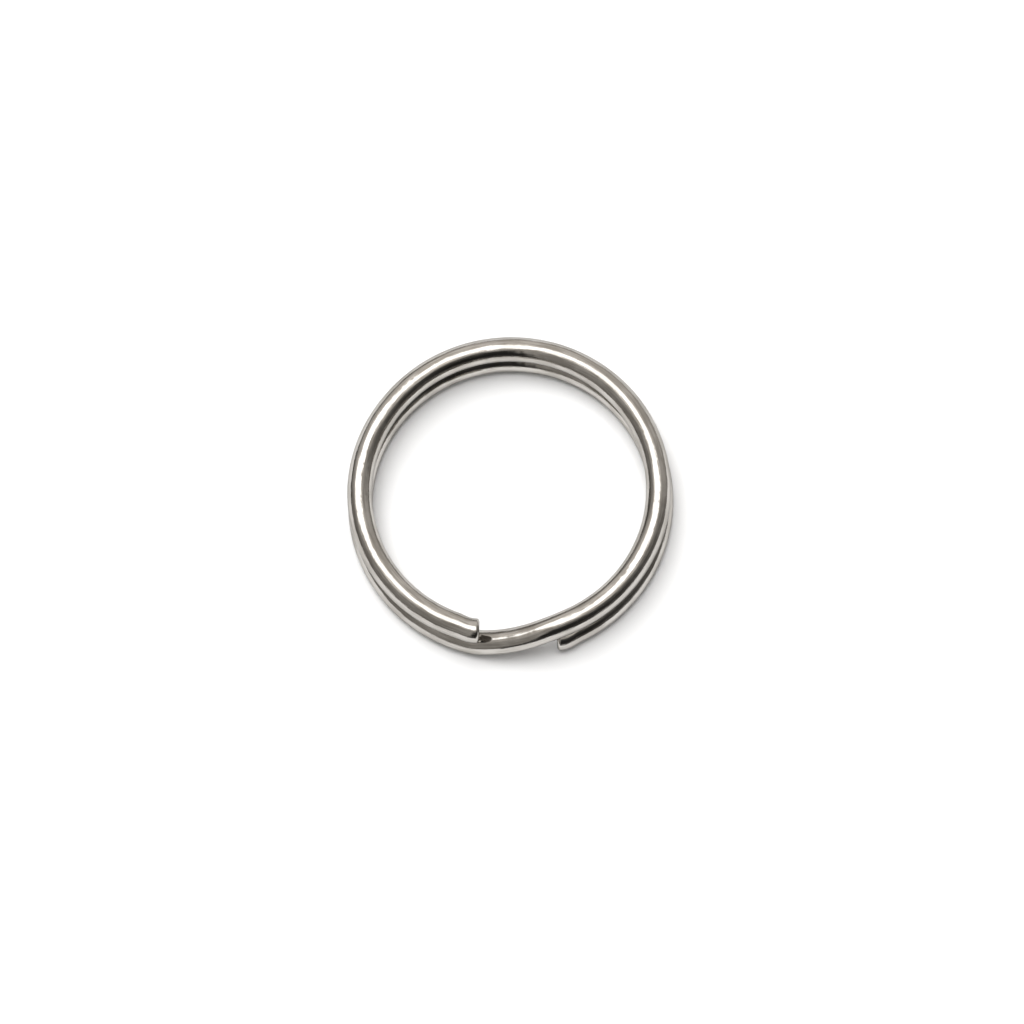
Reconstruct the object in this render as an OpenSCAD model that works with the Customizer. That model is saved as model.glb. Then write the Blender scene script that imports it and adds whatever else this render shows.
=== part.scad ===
// Split key ring. It is one length of round wire, coiled almost twice round into two
// turns that lie one on the other. The wire climbs from the lower turn to the upper one
// through a double bend: a short one up onto the slope, and a longer one off it. Both of
// its ends are cut square with a rounded rim.
//
// Origin: the lower turn's centre, on the surface that the ring lies on. +Z is up, and
// the climb is at -Y. Seen from above, the wire climbs counter-clockwise.

/* [Ring] */
// Outside diameter of the lower turn
outside_d = 25.5; // [20:0.5:34]
// Diameter of the wire
wire_d = 1.94; // [1.6:0.02:2.1]
// How much smaller the upper turn's radius is than the lower one's
turn_step = 0.12; // [0:0.02:0.2]
// How far the upper turn sits towards -X of the lower one
upper_left = 0.12; // [0:0.02:0.2]
// How far the upper turn sits towards +Y of the lower one
upper_back = 0.28; // [0.1:0.02:0.3]
// Hairline gap between the two turns
turn_gap = 0.1; // [0.08:0.02:0.14]

/* [Double bend] */
// Angle round the ring where the wire leaves the lower turn
leave_angle = 252.5; // [252:0.5:254]
// Angle round the ring where it arrives on the upper turn
arrive_angle = 293; // [291:0.5:295]
// Angle round the ring where the slope is half way between its two bends
slope_angle = 263; // [262:0.5:266]
// Reach of the first bend, from its corner to where it starts and ends
leave_reach = 0.5; // [0.4:0.02:0.6]
// Reach of the last bend
arrive_reach = 1.5; // [1.3:0.02:2.3]
// How much less the bent wire's radius is, for each bend
bend_neck = 0.01; // [0.01:0.005:0.02]

/* [Cut ends] */
// Angle round the ring of the upper end's face
upper_face = 257.2; // [256:0.1:258]
// Angle round the ring of the lower end's face
lower_face = 286.4; // [286:0.1:290]
// Radius of each end's rounded rim
rim_r = 0.25; // [0.1:0.05:0.35]

/* [Hidden] */
$fn = 96;

// A thinner stretch of wire runs this far into the thicker one that it joins
lap = 0.1;

wire_r = wire_d / 2;
lower_r = outside_d / 2 - wire_r;
upper_r = lower_r - turn_step;
lower_centre = [0, 0, wire_r];
upper_centre = [-upper_left, upper_back, 3 * wire_r + turn_gap];

function unit(v) = v / norm(v);
// A point on a turn's centreline, and the way the wire runs there
function on_turn(centre, r, angle) = centre + r * [cos(angle), sin(angle), 0];
function heading(angle) = [-sin(angle), cos(angle), 0];
// Angle that a length takes on an arc
function arc_angle(length, r) = length / r * 180 / PI;

// The wire leaves the lower turn and arrives on the upper one at these points
leave = on_turn(lower_centre, lower_r, leave_angle);
arrive = on_turn(upper_centre, upper_r, arrive_angle);
leave_dir = heading(leave_angle);
arrive_dir = heading(arrive_angle);
leave_corner = leave + leave_reach * leave_dir;
arrive_corner = arrive - arrive_reach * arrive_dir;

// Between those two corners it climbs evenly. This is the place and the direction of
// the wire on the slope, at slope_angle.
below = on_turn(lower_centre, lower_r, slope_angle);
rise = on_turn(upper_centre, upper_r, slope_angle) - below;
sloped = lower_r * (arrive_angle - leave_angle) * PI / 180 - leave_reach - arrive_reach;
climbed = lower_r * (slope_angle - leave_angle) * PI / 180 - leave_reach;
on_slope = below + climbed / sloped * rise;
slope_dir = unit(sloped * heading(slope_angle) + rise);

// Reach of the arc that leads from on_slope to a bend at a corner run away
function slope_reach(run, dir, bend_reach) =
    (run * run - pow(bend_reach, 2)) / (2 * (run * dir + bend_reach));
lower_reach = slope_reach(on_slope - leave_corner, slope_dir, leave_reach);
upper_reach = slope_reach(arrive_corner - on_slope, slope_dir, arrive_reach);
lower_dir = unit(on_slope - lower_reach * slope_dir - leave_corner);
upper_dir = unit(arrive_corner - on_slope - upper_reach * slope_dir);

// Places where the rounding of the ends' rims starts
upper_stop = upper_face + 360 - arc_angle(rim_r, upper_r);
lower_start = lower_face + arc_angle(rim_r, lower_r);

// Puts children at a point, with their X, Y and Z along three square directions
module placed(point, x, y, z) {
    multmatrix([
        [x[0], y[0], z[0], point[0]],
        [x[1], y[1], z[1], point[1]],
        [x[2], y[2], z[2], point[2]]
    ])
        children();
}

// An arc of wire about Z
module wire_arc(centreline_r, section_r, start, sweep) {
    rotate_extrude(angle = sweep, start = start)
        translate([centreline_r, 0])
            circle(section_r);
}

// One bend, from a point and the wire's direction there to its direction at the far end
module bend(point, dir_in, dir_out, reach, neck) {
    turned = acos(dir_in * dir_out);
    bend_r = reach / tan(turned / 2);
    axis = unit(cross(dir_in, dir_out));
    inward = cross(axis, dir_in);
    lap_angle = arc_angle(lap, bend_r);
    placed(point + bend_r * inward, -inward, dir_in, axis)
        wire_arc(bend_r, wire_r - neck, -lap_angle, turned + 2 * lap_angle);
}

// The last of the wire at a cut end, with a square face and a rounded rim
module cut_end(point, dir_out) {
    end_r = wire_r - bend_neck;
    up = [0, 0, 1];
    placed(point, up, cross(dir_out, up), dir_out)
        rotate_extrude()
            union() {
                translate([0, -lap])
                    square([end_r, lap]);
                square([end_r - rim_r, rim_r]);
                intersection() {
                    translate([end_r - rim_r, 0])
                        circle(rim_r);
                    translate([end_r - rim_r, 0])
                        square(rim_r);
                }
            }
}

module lower_turn() {
    translate(lower_centre)
        wire_arc(lower_r, wire_r, lower_start, leave_angle + 360 - lower_start);
    cut_end(on_turn(lower_centre, lower_r, lower_start), -heading(lower_start));
}

module climb() {
    bend(leave, leave_dir, lower_dir, leave_reach, bend_neck);
    bend(leave_corner + leave_reach * lower_dir, lower_dir, slope_dir, lower_reach, 2 * bend_neck);
    bend(on_slope, slope_dir, upper_dir, upper_reach, bend_neck);
    bend(arrive_corner - arrive_reach * upper_dir, upper_dir, arrive_dir, arrive_reach, 2 * bend_neck);
}

module upper_turn() {
    translate(upper_centre)
        wire_arc(upper_r, wire_r, arrive_angle, upper_stop - arrive_angle);
    cut_end(on_turn(upper_centre, upper_r, upper_stop), heading(upper_stop));
}

module split_ring() {
    color("silver") {
        lower_turn();
        climb();
        upper_turn();
    }
}

split_ring();
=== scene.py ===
"""A split key ring: one bright plated wire, coiled almost twice round, on a white table."""

import math
from collections import namedtuple

import bpy
from mathutils import Matrix, Quaternion, Vector


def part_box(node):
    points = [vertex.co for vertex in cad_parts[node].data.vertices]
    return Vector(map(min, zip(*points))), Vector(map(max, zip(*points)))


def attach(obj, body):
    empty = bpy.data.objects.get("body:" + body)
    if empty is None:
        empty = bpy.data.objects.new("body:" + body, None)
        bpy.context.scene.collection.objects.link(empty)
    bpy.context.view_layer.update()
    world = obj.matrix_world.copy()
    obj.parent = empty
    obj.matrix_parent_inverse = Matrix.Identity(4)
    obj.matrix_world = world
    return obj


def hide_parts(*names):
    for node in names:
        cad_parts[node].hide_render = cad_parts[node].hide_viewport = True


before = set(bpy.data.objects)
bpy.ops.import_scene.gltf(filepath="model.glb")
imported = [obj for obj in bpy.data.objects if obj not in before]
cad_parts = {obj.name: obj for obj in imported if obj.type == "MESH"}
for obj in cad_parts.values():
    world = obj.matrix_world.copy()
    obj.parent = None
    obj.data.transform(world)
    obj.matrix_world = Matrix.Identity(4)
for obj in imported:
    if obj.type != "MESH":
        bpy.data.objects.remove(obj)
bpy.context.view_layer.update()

# The wire is modelled in millimetres, and brought to metres when it is done.
MM = 0.001
low, high = (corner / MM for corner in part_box("split_ring"))

# The coil: its outside size and its height come from the frame, to 0.01 mm.
CAD_TURN_GAP = 0.1
TURN_STEP = 0.12
UPPER_LEFT = 0.12
OUTSIDE_D = round(high.x - low.x, 2)
WIRE_R = round((high.z - low.z - CAD_TURN_GAP) / 4, 2)
LOWER_R = OUTSIDE_D / 2 - WIRE_R
UPPER_R = LOWER_R - TURN_STEP
UPPER_BACK = round(high.y - UPPER_R - WIRE_R, 2)
# The turns press on each other, so only a hair of the gap shows.
TURN_GAP = 0.04

# The climb: where it leaves the lower turn, where it arrives on the upper one and where its slope
# runs the way that the turns do, seen from above, as angles round the ring. Then how far each
# bend reaches either side of its corner.
LEAVE_ANGLE = 252.5
ARRIVE_ANGLE = 293
SLOPE_ANGLE = 263
LEAVE_REACH = 0.5
ARRIVE_REACH = 1.5

# The cut ends: each face's angle round the ring, and how far the shear left it askew
UPPER_FACE = 257.2
LOWER_FACE = 286.4
UPPER_CUT_SKEW = 9
LOWER_CUT_SKEW = 14
SKEW_REACH = 1.5
RIM_R = 0.25

# The climb beneath holds the upper end up, and the coil sprang a little out of round.
END_LIFT = 0.1
LIFT_REACH = 12
OUT_OF_ROUND = 0.0068
LONG_WAY = 45
# A knock left both turns a little flat at one place.
FLAT_PLACE = 140
FLAT_DEPTH = 0.025
FLAT_REACH = 6

# How the mesh is divided: round the section, along the wire and at its ends
SIDES = 64
TURN_PITCH = 0.3
BEND_PITCH = 0.16
RIM_STEPS = 6
FACE_SHARES = (0.15, 0.4, 0.65, 0.87)

# The plate: its colour in the dark and light streaks and at a glancing angle, the steel that the
# cuts bared, darkened further as painted shade on the cut faces, and how rough it is, with what
# the specks and the cut faces add
PLATE_DARK = (0.435, 0.413, 0.382, 1)
PLATE_LIGHT = (0.575, 0.553, 0.522, 1)
GLANCING_TINT = (0.5, 0.5, 0.5, 1)
# Bare steel, set darker than bare steel is: painted shade on the cut faces, which the climb beneath
# also reflects
BARE_STEEL_AND_SHADE = (0.17, 0.155, 0.14, 1)
PLATE_ROUGHNESS = (0.06, 0.14)
SPECK_ROUGHNESS = 0.08
FACE_ROUGHNESS = 0.06
# Its marks: each pattern's stretch along the wire and across it, its scale and its detail
Grain = namedtuple("Grain", "stretch scale detail")
DRAWING_LINES = Grain((0.08, 1, 1), 7, 3)
PATCHES = Grain((0.5, 1, 1), 0.9, 2)
ROLL_MARKS = Grain((1, 0.25, 0.25), 1.3, 1)
SPECKS = Grain((1, 1, 1), 14, 2)
SHEAR_MARKS = Grain((1, 7, 0.8), 3, 4)
# Between which two values of its pattern each mark goes from nothing to its full strength
STREAK_SPAN = (0.4, 0.6)
LINE_SPAN = (0.3, 0.7)
SPECK_SPAN = (0.62, 0.75)
# How deep the marks are, and how far along the wire a cut face's look reaches, in millimetres
LINE_DEPTH = 0.011
ROLL_DEPTH = 0.028
SHEAR_DEPTH = 0.03
FACE_REACH = 0.05

# The table: its width in metres, how light its card is, and how much is added to make it white
TABLE_WIDTH = 4
CARD_GREY = 0.9
CARD_TOP_UP = 0.08

# The lamp that lights the table: where it hangs, in degrees round from +X and above the table,
# half its width and length as degrees seen from the ring, and how far off it is in metres
KEY_AZIMUTH = 130
KEY_ELEVATION = 74
KEY_HALF_WIDTH = 18
KEY_HALF_LENGTH = 26
KEY_DISTANCE = 30
KEY_BRIGHTNESS = 6.45

# The lit panel that the metal reflects. Its place, its size and its faded edge are shares: the
# edge of the panel's width, and the rest of its height over the table, which is in metres.
PANEL_HEIGHT = 30
PANEL_LEFT = -0.24
PANEL_BACK = 0.286
PANEL_TURN = 147.7
PANEL_HALF_LENGTH = 0.53
PANEL_HALF_WIDTH = 0.285
PANEL_EDGE = 0.06
PANEL_BRIGHTNESS = 2.6

# The room: its tint, and the share of its light that reaches the table
ROOM_TINT = (1.0, 0.955, 0.9)
ROOM_ON_TABLE = 0.25
# Degrees above the table, and how light the room is there at degrees round from +X
ROOM_RINGS = (
    (0, (
        (-180, 0.3), (-150, 0.24), (-30, 0.16), (-5, 0.18), (30, 0.2), (60, 0.4), (90, 0.3),
        (106, 0.08), (135, 0.06), (155, 0.08), (180, 0.3),
    )),
    (6, (
        (-180, 0.2), (-150, 0.25), (-114, 0.28), (-108, 0.05), (-60, 0.1), (0, 0.19),
        (30, 0.42), (60, 0.63), (90, 0.54), (108, 0.25), (130, 0.2), (150, 0.14), (180, 0.2),
    )),
    (27, (
        (-180, 0.27), (-150, 0.27), (-106, 0.37), (-99, 0.02), (-50, 0.02), (-25, 0.06),
        (0, 0.18), (30, 0.52), (60, 0.75), (95, 0.8), (125, 0.75), (150, 0.42), (165, 0.28),
        (180, 0.27),
    )),
    (50, (
        (-180, 0.46), (-150, 0.36), (-100, 0.4), (-93, 0.04), (-40, 0.06), (-10, 0.2),
        (30, 0.44), (60, 0.6), (90, 0.8), (120, 1.0), (150, 0.9), (180, 0.46),
    )),
    (70, (
        (-180, 1.05), (-150, 0.55), (-120, 0.36), (-90, 0.55), (-60, 0.42), (-30, 0.85),
        (0, 0.9), (30, 0.6), (60, 0.9), (90, 1.3), (150, 1.3), (180, 1.05),
    )),
    (82, (
        (-180, 1.7), (-120, 1.2), (-60, 1.25), (0, 1.8), (30, 1.9), (90, 1.9), (180, 1.7),
    )),
)

# The camera: where it stands, in degrees as for the lamp, its distance and lens in millimetres,
# and how far right of the ring's middle and below it the camera aims, in millimetres
CAMERA_AZIMUTH = -91.6
CAMERA_ELEVATION = 72.1
CAMERA_DISTANCE = 400
LENS = 179.4
AIM_RIGHT = 0.225
AIM_DOWN = 1.085

UP = Vector((0, 0, 1))
LOWER_CENTRE = Vector((0, 0, WIRE_R))
UPPER_CENTRE = Vector((-UPPER_LEFT, UPPER_BACK, 3 * WIRE_R + TURN_GAP))

Arc = namedtuple("Arc", "centre axis radius sweep pitch")
Ring = namedtuple("Ring", "centre along radius")


def on_turn(centre, radius, angle):
    """A point on a turn's centreline."""
    turned = math.radians(angle)
    return centre + radius * Vector((math.cos(turned), math.sin(turned), 0))


def heading(angle):
    """The wire's direction at an angle round the ring."""
    turned = math.radians(angle)
    return Vector((-math.sin(turned), math.cos(turned), 0))


def flat_turn(centre, radius, start, end):
    """A turn about Z between two angles."""
    return Arc(centre, UP, radius, math.radians(end - start), TURN_PITCH)


def other_way(arc):
    """The same arc, drawn from its far end."""
    return arc._replace(axis=-arc.axis)


def bend(start, dir_in, dir_out, reach):
    """A bend from start, between two directions that meet in a corner reach ahead."""
    turned = dir_in.angle(dir_out)
    axis = dir_in.cross(dir_out).normalized()
    radius = reach / math.tan(turned / 2)
    return Arc(start + radius * axis.cross(dir_in), axis, radius, turned, BEND_PITCH)


def half_climb(flat_point, flat_dir, on_slope, slope_dir, reach):
    """The bend off a flat turn, and the shallow arc from there to a point on the slope."""
    corner = flat_point + reach * flat_dir
    run = on_slope - corner
    slope_reach = (run.dot(run) - reach**2) / (2 * (run.dot(slope_dir) + reach))
    between = (on_slope - slope_reach * slope_dir - corner).normalized()
    return (
        bend(flat_point, flat_dir, between, reach),
        bend(corner + reach * between, between, slope_dir, slope_reach),
    )


def climb():
    """The four arcs from the lower turn up to the upper one, two each side of the slope's point."""
    leave = on_turn(LOWER_CENTRE, LOWER_R, LEAVE_ANGLE)
    arrive = on_turn(UPPER_CENTRE, UPPER_R, ARRIVE_ANGLE)
    below = on_turn(LOWER_CENTRE, LOWER_R, SLOPE_ANGLE)
    rise = on_turn(UPPER_CENTRE, UPPER_R, SLOPE_ANGLE) - below
    sloped = LOWER_R * math.radians(ARRIVE_ANGLE - LEAVE_ANGLE) - LEAVE_REACH - ARRIVE_REACH
    climbed = LOWER_R * math.radians(SLOPE_ANGLE - LEAVE_ANGLE) - LEAVE_REACH
    on_slope = below + climbed / sloped * rise
    slope_dir = (sloped * heading(SLOPE_ANGLE) + rise).normalized()
    first = half_climb(leave, heading(LEAVE_ANGLE), on_slope, slope_dir, LEAVE_REACH)
    last = half_climb(arrive, -heading(ARRIVE_ANGLE), on_slope, -slope_dir, ARRIVE_REACH)
    return first + tuple(other_way(arc) for arc in reversed(last))


def scale_last(rings, radius):
    """Brings the selected last ring to a radius."""
    last = rings[-1]
    bpy.ops.transform.resize(value=(radius / last.radius,) * 3, center_override=last.centre)
    rings[-1] = last._replace(radius=radius)


def widen(rings, radius):
    """Extrudes the last ring in its own plane to another radius."""
    bpy.ops.mesh.extrude_edges_move()
    rings.append(rings[-1])
    scale_last(rings, radius)


def draw_along(rings, arc, length):
    """Spins the last ring along a length of an arc."""
    steps = max(1, round(length / arc.pitch))
    sweep = length / arc.radius
    # The spin runs clockwise about its axis
    bpy.ops.mesh.spin(
        steps=steps, angle=-sweep, center=arc.centre, axis=arc.axis, use_auto_merge=False
    )
    step = Quaternion(arc.axis, sweep / steps)
    for _ in range(steps):
        last = rings[-1]
        out = last.centre - arc.centre
        out.rotate(step)
        rings.append(Ring(arc.centre + out, last.along + length / steps, last.radius))


def rim_profile():
    """Distance back from the cut face and radius, at each step of the rounded rim."""
    for step in range(1, RIM_STEPS + 1):
        turned = math.pi / 2 * step / RIM_STEPS
        yield RIM_R * (1 - math.cos(turned)), WIRE_R - RIM_R * (1 - math.sin(turned))


def select_rings(piece, first, last):
    """Selects rings first to last of the wire, and leaves edit mode on."""
    bpy.ops.object.mode_set(mode="EDIT")
    bpy.ops.mesh.select_mode(type="VERT")
    bpy.ops.mesh.select_all(action="DESELECT")
    bpy.ops.object.mode_set(mode="OBJECT")
    for vertex in piece.data.vertices[first * SIDES : (last + 1) * SIDES]:
        vertex.select = True
    bpy.ops.object.mode_set(mode="EDIT")


def move_near(shift, reach):
    """Moves the selected rings, and the wire that leads to them less and less."""
    bpy.ops.transform.translate(
        value=shift,
        use_proportional_edit=True,
        proportional_edit_falloff="SMOOTH",
        proportional_size=reach,
        use_proportional_connected=True,
    )


def push_in(piece, rings, centre, radius, angle):
    """Presses one turn inwards at an angle round the ring."""
    place = on_turn(centre, radius, angle)
    nearest = min(range(len(rings)), key=lambda number: (rings[number].centre - place).length)
    select_rings(piece, nearest, nearest)
    move_near(FLAT_DEPTH * (centre - place).normalized(), FLAT_REACH)


def skew_cut(piece, rings, first, last, face, angle):
    """Turns one end's face and rim clockwise, about the face's middle."""
    select_rings(piece, first, last)
    bpy.ops.transform.rotate(
        value=math.radians(angle),
        orient_axis="Z",
        center_override=rings[face].centre,
        use_proportional_edit=True,
        proportional_edit_falloff="SMOOTH",
        proportional_size=SKEW_REACH,
        use_proportional_connected=True,
    )


def place_on_wire(piece, rings):
    """Keeps each point's place on the straight wire: distance along, and two across."""
    places = piece.data.attributes.new("wire_place", "FLOAT_VECTOR", "POINT")
    for number, place in enumerate(places.data):
        ring = rings[number // SIDES]
        turned = 2 * math.pi * (number % SIDES) / SIDES
        across = ring.radius * Vector((math.cos(turned), math.sin(turned)))
        place.vector = (ring.along, across.x, across.y)


def coiled_wire():
    """The whole wire, from the face of its lower end to the face of its upper one."""
    lower_turn = flat_turn(LOWER_CENTRE, LOWER_R, LOWER_FACE, LEAVE_ANGLE + 360)
    upper_turn = flat_turn(UPPER_CENTRE, UPPER_R, ARRIVE_ANGLE, UPPER_FACE + 360)
    start = on_turn(LOWER_CENTRE, LOWER_R, LOWER_FACE)
    flat_r = WIRE_R - RIM_R

    # The lower end: its cut face, and its rim a step at a time
    bpy.ops.object.select_all(action="DESELECT")
    bpy.ops.mesh.primitive_circle_add(
        vertices=SIDES,
        radius=flat_r * FACE_SHARES[0],
        fill_type="NGON",
        location=start,
        rotation=heading(LOWER_FACE).to_track_quat("Z", "Y").to_euler(),
    )
    piece = bpy.context.object
    piece.name = piece.data.name = "coiled_wire"
    bpy.ops.object.transform_apply(location=True, rotation=True, scale=True)
    bpy.ops.object.mode_set(mode="EDIT")
    bpy.ops.mesh.select_all(action="SELECT")
    rings = [Ring(start, 0.0, flat_r * FACE_SHARES[0])]
    for share in FACE_SHARES[1:] + (1,):
        widen(rings, flat_r * share)
    back = 0
    for distance, radius in rim_profile():
        draw_along(rings, lower_turn, distance - back)
        scale_last(rings, radius)
        back = distance

    # The lower turn, the climb and the upper turn
    lower_end_ring = len(rings) - 1
    draw_along(rings, lower_turn, lower_turn.sweep * lower_turn.radius - RIM_R)
    for arc in climb():
        draw_along(rings, arc, arc.sweep * arc.radius)
    draw_along(rings, upper_turn, upper_turn.sweep * upper_turn.radius - RIM_R)

    # The upper end, the other way round
    upper_end_ring = len(rings) - 1
    profile = list(rim_profile())[::-1]
    for (distance, _), (closer, radius) in zip(profile, profile[1:] + [(0, flat_r)]):
        draw_along(rings, upper_turn, distance - closer)
        scale_last(rings, radius)
    for share in FACE_SHARES[::-1]:
        widen(rings, flat_r * share)
    bpy.ops.mesh.edge_face_add()

    bpy.ops.mesh.select_all(action="SELECT")
    bpy.ops.mesh.normals_make_consistent(inside=False)
    bpy.ops.object.mode_set(mode="OBJECT")
    place_on_wire(piece, rings)

    # The shear left both faces askew.
    skew_cut(piece, rings, 0, lower_end_ring, 0, LOWER_CUT_SKEW)
    skew_cut(piece, rings, upper_end_ring, len(rings) - 1, -1, -UPPER_CUT_SKEW)
    select_rings(piece, upper_end_ring, len(rings) - 1)
    move_near(UP * END_LIFT, LIFT_REACH)
    push_in(piece, rings, LOWER_CENTRE, LOWER_R, FLAT_PLACE)
    push_in(piece, rings, UPPER_CENTRE, UPPER_R, FLAT_PLACE)
    # The coil is a little long one way.
    select_rings(piece, 0, len(rings) - 1)
    long_way = Vector((math.cos(math.radians(LONG_WAY)), math.sin(math.radians(LONG_WAY)), 0))
    bpy.ops.transform.resize(
        value=(1 + OUT_OF_ROUND, 1 - OUT_OF_ROUND, 1),
        orient_matrix=(long_way, UP.cross(long_way), UP),
        orient_matrix_type="GLOBAL",
        center_override=(0, 0, 0),
    )
    bpy.ops.object.mode_set(mode="OBJECT")
    piece.scale = (MM,) * 3
    bpy.ops.object.transform_apply(location=False, rotation=False, scale=True)
    bpy.ops.object.shade_smooth()
    return piece, rings[-1].along


def add_node(tree, kind, settings=(), sockets=()):
    """A node with its settings and its sockets' values."""
    made = tree.nodes.new(kind)
    for name, value in dict(settings).items():
        setattr(made, name, value)
    for name, value in dict(sockets).items():
        made.inputs[name].default_value = value
    return made


def maths(tree, operation, first, second=None):
    """A Math node on two values, each a number or another node's output."""
    made = add_node(tree, "ShaderNodeMath", {"operation": operation})
    for socket, value in zip(made.inputs, (first, second)):
        if isinstance(value, bpy.types.NodeSocket):
            tree.links.new(value, socket)
        elif value is not None:
            socket.default_value = value
    return made.outputs[0]


def remap(tree, value, low, high, to_low, to_high):
    """A value brought from one range to another, and held within it."""
    ends = {"From Min": low, "From Max": high, "To Min": to_low, "To Max": to_high}
    made = add_node(tree, "ShaderNodeMapRange", {"interpolation_type": "SMOOTHSTEP"}, ends)
    tree.links.new(value, made.inputs["Value"])
    return made.outputs["Result"]


def grain(tree, place, pattern):
    """Noise on the straight wire, stretched along it and across it."""
    mapping = add_node(tree, "ShaderNodeMapping", sockets={"Scale": pattern.stretch})
    noise = add_node(
        tree, "ShaderNodeTexNoise", sockets={"Scale": pattern.scale, "Detail": pattern.detail}
    )
    tree.links.new(place, mapping.inputs["Vector"])
    tree.links.new(mapping.outputs["Vector"], noise.inputs["Vector"])
    return noise.outputs["Fac"]


def raised(tree, height, depth_mm, normal=None):
    """A bump of a depth in millimetres, on top of another."""
    bump = add_node(tree, "ShaderNodeBump", sockets={"Distance": depth_mm * MM})
    tree.links.new(height, bump.inputs["Height"])
    if normal is not None:
        tree.links.new(normal, bump.inputs["Normal"])
    return bump.outputs["Normal"]


def bright_nickel(wire_length):
    """Nickel plate on drawn wire: mirror-like, with drawing lines along it and roll marks across."""
    material = bpy.data.materials.new("bright_nickel")
    material.use_nodes = True
    tree = material.node_tree
    shader = tree.nodes["Principled BSDF"]
    shader.inputs["Metallic"].default_value = 1.0
    shader.inputs["Specular Tint"].default_value = GLANCING_TINT
    place = add_node(tree, "ShaderNodeAttribute", {"attribute_name": "wire_place"})
    place = place.outputs["Vector"]

    lines = grain(tree, place, DRAWING_LINES)
    patches = grain(tree, place, PATCHES)
    rolls = grain(tree, place, ROLL_MARKS)
    specks = grain(tree, place, SPECKS)

    # How near a point is to a cut face, from 0 on the wire to 1 on the face
    split = add_node(tree, "ShaderNodeSeparateXYZ")
    tree.links.new(place, split.inputs[0])
    along = split.outputs["X"]
    to_end = maths(tree, "MINIMUM", along, maths(tree, "SUBTRACT", wire_length, along))
    on_face = remap(tree, to_end, 0, FACE_REACH, 1, 0)
    shear = grain(tree, place, SHEAR_MARKS)

    colour = add_node(tree, "ShaderNodeMix", {"data_type": "RGBA"})
    colour.inputs["A"].default_value = PLATE_DARK
    colour.inputs["B"].default_value = PLATE_LIGHT
    # The streaks are the mean of the patches and the lines.
    streaks = maths(tree, "MULTIPLY", maths(tree, "ADD", patches, lines), 0.5)
    tree.links.new(remap(tree, streaks, *STREAK_SPAN, 0, 1), colour.inputs["Factor"])
    # The cut faces: bare steel, partly painted shade that darkens them and their reflection in the
    # climb
    bared_and_shaded = add_node(tree, "ShaderNodeMix", {"data_type": "RGBA"})
    bared_and_shaded.inputs["B"].default_value = BARE_STEEL_AND_SHADE
    tree.links.new(on_face, bared_and_shaded.inputs["Factor"])
    tree.links.new(colour.outputs["Result"], bared_and_shaded.inputs["A"])
    tree.links.new(bared_and_shaded.outputs["Result"], shader.inputs["Base Color"])

    rough = remap(tree, lines, *LINE_SPAN, *PLATE_ROUGHNESS)
    rough = maths(tree, "ADD", rough, remap(tree, specks, *SPECK_SPAN, 0, SPECK_ROUGHNESS))
    rough = maths(tree, "ADD", rough, maths(tree, "MULTIPLY", on_face, FACE_ROUGHNESS))
    tree.links.new(rough, shader.inputs["Roughness"])

    normal = raised(tree, lines, LINE_DEPTH)
    normal = raised(tree, rolls, ROLL_DEPTH, normal)
    normal = raised(tree, maths(tree, "MULTIPLY", shear, on_face), SHEAR_DEPTH, normal)
    tree.links.new(normal, shader.inputs["Normal"])
    return material


def seen(tree):
    """1 for a ray from the camera, off a mirror or through glass."""
    path = add_node(tree, "ShaderNodeLightPath")
    indirect = maths(
        tree, "MAXIMUM", path.outputs["Is Glossy Ray"], path.outputs["Is Transmission Ray"]
    )
    return maths(tree, "MAXIMUM", path.outputs["Is Camera Ray"], indirect)


def white_card():
    """The table's card. What a camera or a mirror sees of it is topped up to white."""
    material = bpy.data.materials.new("white_card")
    material.use_nodes = True
    tree = material.node_tree
    tree.nodes.remove(tree.nodes["Principled BSDF"])
    out = tree.nodes["Material Output"]
    card = add_node(tree, "ShaderNodeBsdfDiffuse", sockets={"Color": (CARD_GREY,) * 3 + (1,)})
    top_up = add_node(tree, "ShaderNodeEmission", sockets={"Color": (1, 1, 1, 1)})
    both = add_node(tree, "ShaderNodeAddShader")
    tree.links.new(maths(tree, "MULTIPLY", seen(tree), CARD_TOP_UP), top_up.inputs["Strength"])
    tree.links.new(card.outputs[0], both.inputs[0])
    tree.links.new(top_up.outputs[0], both.inputs[1])
    tree.links.new(both.outputs[0], out.inputs["Surface"])
    return material


def white_table():
    """A flat white table that runs out of sight."""
    bpy.ops.mesh.primitive_plane_add(size=TABLE_WIDTH)
    table = bpy.context.object
    table.name = "white_table"
    table.data.materials.append(white_card())


def direction(azimuth, elevation):
    """A direction, from an angle round from +X and one above the table."""
    turned = math.radians(azimuth)
    raised_by = math.radians(elevation)
    flat = math.cos(raised_by)
    return Vector((flat * math.cos(turned), flat * math.sin(turned), math.sin(raised_by)))


def key_light():
    """The lamp high at the back. It is far off, so that it lights the table evenly."""
    towards = direction(KEY_AZIMUTH, KEY_ELEVATION)
    width = 2 * KEY_DISTANCE * math.tan(math.radians(KEY_HALF_WIDTH))
    length = 2 * KEY_DISTANCE * math.tan(math.radians(KEY_HALF_LENGTH))
    bpy.ops.object.light_add(type="AREA", location=KEY_DISTANCE * towards)
    lamp = bpy.context.object
    lamp.name = "key_light"
    lamp.data.shape = "RECTANGLE"
    lamp.data.size = width
    lamp.data.size_y = length
    lamp.data.energy = KEY_BRIGHTNESS * math.pi * width * length
    lamp.visible_glossy = False
    lamp.rotation_mode = "QUATERNION"
    across = UP.cross(towards).normalized()
    axes = Matrix((across, towards.cross(across), towards)).transposed()
    lamp.rotation_quaternion = axes.to_quaternion()


def soft_edge(tree, position):
    """0 at a panel's two edges and 1 over its middle, for a place across it from 0 to 1."""
    to_edge = maths(tree, "MINIMUM", position, maths(tree, "SUBTRACT", 1, position))
    return remap(tree, to_edge, 0, PANEL_EDGE, 0, 1)


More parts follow.
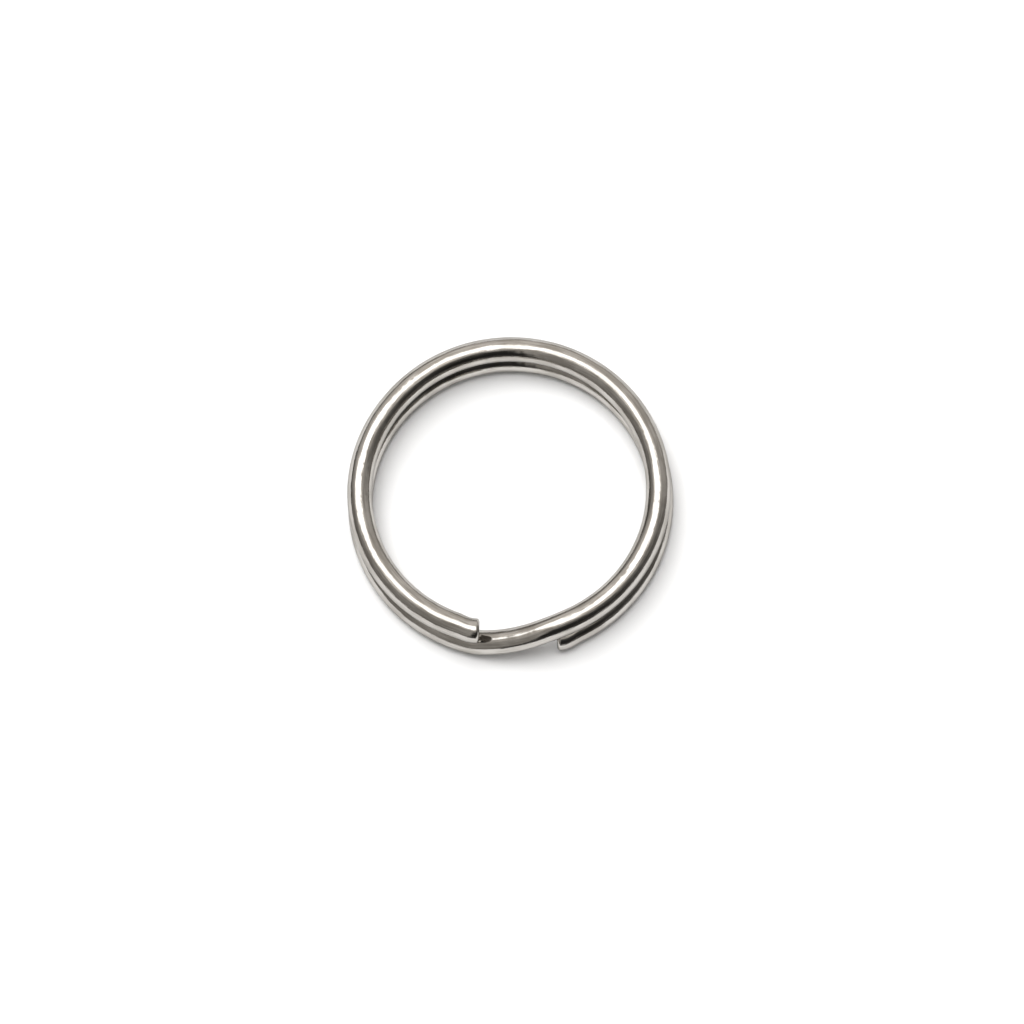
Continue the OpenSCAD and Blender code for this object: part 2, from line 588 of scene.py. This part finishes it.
def white_panel():
    """The lamp's cloth front, as polished metal sees it: flat overhead, fading at its edges."""
    bpy.ops.object.select_all(action="DESELECT")
    # Two across, so that its scale is half its length and half its width
    bpy.ops.mesh.primitive_plane_add(
        size=2,
        location=(PANEL_LEFT * PANEL_HEIGHT, PANEL_BACK * PANEL_HEIGHT, PANEL_HEIGHT),
        rotation=(0, 0, math.radians(PANEL_TURN)),
    )
    panel = bpy.context.object
    panel.name = "white_panel"
    panel.scale = (PANEL_HALF_LENGTH * PANEL_HEIGHT, PANEL_HALF_WIDTH * PANEL_HEIGHT, 1)
    panel.visible_camera = False
    panel.visible_diffuse = False
    panel.visible_shadow = False

    material = bpy.data.materials.new("lit_cloth")
    material.use_nodes = True
    tree = material.node_tree
    tree.nodes.remove(tree.nodes["Principled BSDF"])
    place = add_node(tree, "ShaderNodeUVMap")
    split = add_node(tree, "ShaderNodeSeparateXYZ")
    tree.links.new(place.outputs[0], split.inputs[0])
    fade = maths(
        tree, "MULTIPLY", soft_edge(tree, split.outputs["X"]), soft_edge(tree, split.outputs["Y"])
    )
    cloth = {"Color": (1, 1, 1, 1), "Strength": PANEL_BRIGHTNESS}
    glow = add_node(tree, "ShaderNodeEmission", sockets=cloth)
    clear = add_node(tree, "ShaderNodeBsdfTransparent")
    mix = add_node(tree, "ShaderNodeMixShader")
    tree.links.new(fade, mix.inputs["Fac"])
    tree.links.new(clear.outputs[0], mix.inputs[1])
    tree.links.new(glow.outputs[0], mix.inputs[2])
    tree.links.new(mix.outputs[0], tree.nodes["Material Output"].inputs["Surface"])
    panel.data.materials.append(material)


def room_ring(tree, turned, greys):
    """How light the room is at one height, by the angle round."""
    share = maths(tree, "DIVIDE", maths(tree, "ADD", turned, math.pi), 2 * math.pi)
    made = add_node(tree, "ShaderNodeValToRGB")
    ramp = made.color_ramp
    while len(ramp.elements) < len(greys):
        ramp.elements.new(0.5)
    for element, (angle, grey) in zip(ramp.elements, greys):
        element.position = (angle + 180) / 360
        element.color = [grey * tint for tint in ROOM_TINT] + [1]
    tree.links.new(share, made.inputs["Fac"])
    return made.outputs["Color"]


def studio_room():
    """The room round the table: dark behind the camera, grey at the sides, light at the back."""
    world = bpy.data.worlds.new("studio_room")
    bpy.context.scene.world = world
    world.use_nodes = True
    tree = world.node_tree
    background = tree.nodes["Background"]
    out = tree.nodes["World Output"]

    way = add_node(tree, "ShaderNodeTexCoord")
    split = add_node(tree, "ShaderNodeSeparateXYZ")
    tree.links.new(way.outputs["Generated"], split.inputs[0])
    turned = maths(tree, "ARCTAN2", split.outputs["Y"], split.outputs["X"])
    raised_by = maths(tree, "ARCSINE", split.outputs["Z"])

    light = room_ring(tree, turned, ROOM_RINGS[0][1])
    for (below, _), (above, greys) in zip(ROOM_RINGS, ROOM_RINGS[1:]):
        rise = remap(tree, raised_by, math.radians(below), math.radians(above), 0, 1)
        blend = add_node(tree, "ShaderNodeMix", {"data_type": "RGBA"})
        tree.links.new(rise, blend.inputs["Factor"])
        tree.links.new(light, blend.inputs["A"])
        tree.links.new(room_ring(tree, turned, greys), blend.inputs["B"])
        light = blend.outputs["Result"]
    tree.links.new(light, background.inputs["Color"])

    white = add_node(tree, "ShaderNodeBackground", sockets={"Color": (1, 1, 1, 1)})
    path = add_node(tree, "ShaderNodeLightPath")
    # The table gets most of its light from the key light.
    on_table = maths(tree, "MULTIPLY", path.outputs["Is Diffuse Ray"], 1 - ROOM_ON_TABLE)
    tree.links.new(maths(tree, "SUBTRACT", 1, on_table), background.inputs["Strength"])
    pick = add_node(tree, "ShaderNodeMixShader")
    tree.links.new(path.outputs["Is Camera Ray"], pick.inputs["Fac"])
    tree.links.new(background.outputs[0], pick.inputs[1])
    tree.links.new(white.outputs[0], pick.inputs[2])
    tree.links.new(pick.outputs[0], out.inputs["Surface"])


def long_lens():
    """The camera: high in front of the ring, through a long lens."""
    away = direction(CAMERA_AZIMUTH, CAMERA_ELEVATION)
    right = UP.cross(away).normalized()
    image_up = away.cross(right)
    ring_centre = Vector((UPPER_CENTRE.x, UPPER_CENTRE.y, WIRE_R))
    place = ring_centre + CAMERA_DISTANCE * away
    aim = ring_centre + AIM_RIGHT * right - AIM_DOWN * image_up
    bpy.ops.object.camera_add(location=place * MM)
    camera = bpy.context.object
    camera.data.lens = LENS
    camera.rotation_euler = (aim - place).to_track_quat("-Z", "Y").to_euler()
    bpy.context.scene.camera = camera


long_lens()
wire, wire_length = coiled_wire()
wire.data.materials.append(bright_nickel(wire_length))
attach(wire, "root")
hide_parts("split_ring")

white_table()
key_light()
white_panel()
studio_room()
bpy.context.scene.view_settings.view_transform = "Standard"
